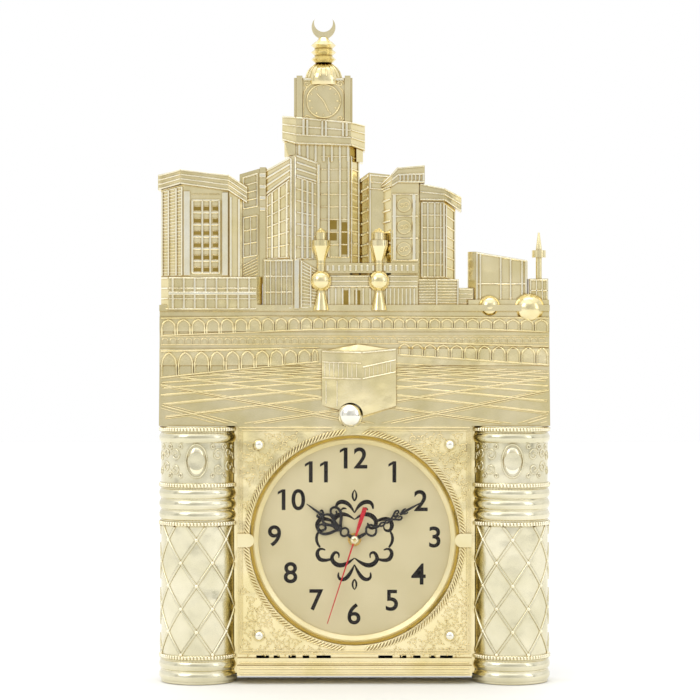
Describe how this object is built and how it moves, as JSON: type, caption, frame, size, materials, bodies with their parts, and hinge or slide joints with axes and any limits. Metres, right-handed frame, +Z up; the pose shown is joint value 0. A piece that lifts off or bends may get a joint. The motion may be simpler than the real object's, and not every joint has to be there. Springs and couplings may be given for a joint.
{
  "type": "azan clock",
  "caption": "Wall clock with a gilt city skyline in relief over a round dial between two columns, with a quartz movement, a sound unit and a push button.",
  "frame": {"origin": "the point of the wall where the hanging screw carries the clock, at the top of the keyhole", "axes": "+Z up, +X to the right seen from the front, the dial faces -Y and the wall is the plane y = 0"},
  "size_m": [0.2967, 0.0471, 0.4999],
  "materials": {
    "gilt": "ABS with vacuum-plated pale gold, polished",
    "chrome": "ABS with bright chrome plating",
    "dial": "printed cream face",
    "glass": "clear, polished",
    "black_plastic": "moulded",
    "grey_plastic": "moulded",
    "white_plastic": "moulded acetal",
    "black_paint": "painted satin black",
    "red_paint": "painted red",
    "gold_metal": "polished",
    "brass": "turned",
    "steel": "zinc plated",
    "copper": "enamelled copper wire",
    "circuit": "solder mask",
    "cell": "printed sleeve",
    "card": "pressed paper"
  },
  "bodies": {
    "root": {"skyline_panel": "gilt", "column_left": "gilt", "column_right": "gilt", "dial_surround": "gilt", "dial_bezel": "gilt", "corner_studs": "gilt", "lens_clips": "gilt", "dial_plate": "dial", "dial_lens": "glass", "back_cover": "black_plastic", "case_screws": "steel", "hanger_plate": "steel", "hanger_rivets": "steel", "button_spring": "steel", "button_board": "circuit", "button_switch": "black_plastic", "movement_back_case": "black_plastic", "movement_front_case": "black_plastic", "movement_nut": "brass", "movement_cell": "cell", "movement_contacts": "steel", "movement_coil": "copper", "movement_stator": "steel", "movement_circuit": "circuit", "sound_board": "circuit", "board_parts": "black_plastic", "volume_control": "grey_plastic", "power_switch": "steel", "rear_switches": "black_plastic", "speaker_magnet": "steel", "speaker_frame": "steel", "speaker_cone": "card", "sound_cells": "cell", "cell_contacts": "steel"},
    "second": {"second_wheel": "white_plastic", "second_hand": "red_paint", "hub_cap": "gold_metal"},
    "intermediate": {"intermediate_wheel": "white_plastic"},
    "rotor": {"rotor": "white_plastic"},
    "third": {"third_wheel": "white_plastic"},
    "centre": {"centre_wheel": "white_plastic"},
    "minute": {"minute_pipe": "brass", "minute_hand": "black_paint"},
    "motion": {"motion_wheel": "white_plastic", "set_knob": "grey_plastic"},
    "hour": {"hour_wheel": "white_plastic", "hour_hand": "black_paint"},
    "azan_button": {"azan_button": "chrome"},
    "battery_door": {"battery_door": "black_plastic"},
    "volume_knob": {"volume_knob": "grey_plastic"},
    "power_slider": {"power_slider": "grey_plastic"},
    "rear_button_1": {"rear_button_1": "grey_plastic"},
    "rear_button_2": {"rear_button_2": "grey_plastic"},
    "rear_button_3": {"rear_button_3": "grey_plastic"}
  },
  "joints": [
    {"name": "second_spin", "type": "hinge", "parent": "root", "child": "second", "pos_m": [0, 0, -0.138], "axis": [0, 1, 0], "continuous": true},
    {"name": "intermediate_spin", "type": "hinge", "parent": "root", "child": "intermediate", "pos_m": [-0.0096, 0, -0.138], "axis": [0, 1, 0], "continuous": true},
    {"name": "rotor_spin", "type": "hinge", "parent": "root", "child": "rotor", "pos_m": [-0.0138, 0, -0.1436], "axis": [0, 1, 0], "continuous": true},
    {"name": "third_spin", "type": "hinge", "parent": "root", "child": "third", "pos_m": [0.009, 0, -0.138], "axis": [0, 1, 0], "continuous": true},
    {"name": "centre_spin", "type": "hinge", "parent": "root", "child": "centre", "pos_m": [0, 0, -0.138], "axis": [0, 1, 0], "continuous": true},
    {"name": "minute_spin", "type": "hinge", "parent": "root", "child": "minute", "pos_m": [0, 0, -0.138], "axis": [0, 1, 0], "continuous": true},
    {"name": "motion_spin", "type": "hinge", "parent": "root", "child": "motion", "pos_m": [0, 0, -0.147], "axis": [0, 1, 0], "continuous": true},
    {"name": "hour_spin", "type": "hinge", "parent": "root", "child": "hour", "pos_m": [0, 0, -0.138], "axis": [0, 1, 0], "continuous": true},
    {"name": "azan_button_press", "type": "slide", "parent": "root", "child": "azan_button", "axis": [0, 1, 0], "range_m": [0, 0.0015], "stiffness_N_per_m": 300, "springref_m": -0.002, "deforming": ["button_spring"]},
    {"name": "battery_door_slide", "type": "slide", "parent": "root", "child": "battery_door", "axis": [0, 0, -1], "range_m": [0, 0.008]},
    {"name": "volume_turn", "type": "hinge", "parent": "root", "child": "volume_knob", "pos_m": [-0.063, 0, -0.074], "axis": [0, 1, 0], "range_deg": [-140, 140]},
    {"name": "power_slide", "type": "slide", "parent": "root", "child": "power_slider", "axis": [1, 0, 0], "range_m": [0, 0.0035]},
    {"name": "rear_button_1_press", "type": "slide", "parent": "root", "child": "rear_button_1", "axis": [0, -1, 0], "range_m": [0, 0.0008], "stiffness_N_per_m": 250, "springref_m": -0.0012},
    {"name": "rear_button_2_press", "type": "slide", "parent": "root", "child": "rear_button_2", "axis": [0, -1, 0], "range_m": [0, 0.0008], "stiffness_N_per_m": 250, "springref_m": -0.0012},
    {"name": "rear_button_3_press", "type": "slide", "parent": "root", "child": "rear_button_3", "axis": [0, -1, 0], "range_m": [0, 0.0008], "stiffness_N_per_m": 250, "springref_m": -0.0012}
  ],
  "couplings": [
    {"joint": "intermediate_spin", "follows": "second_spin", "ratio": -5},
    {"joint": "rotor_spin", "follows": "second_spin", "ratio": 30},
    {"joint": "third_spin", "follows": "second_spin", "ratio": -0.13333},
    {"joint": "centre_spin", "follows": "second_spin", "ratio": 0.016667},
    {"joint": "motion_spin", "follows": "minute_spin", "ratio": -0.33333},
    {"joint": "hour_spin", "follows": "minute_spin", "ratio": 0.083333}
  ]
}
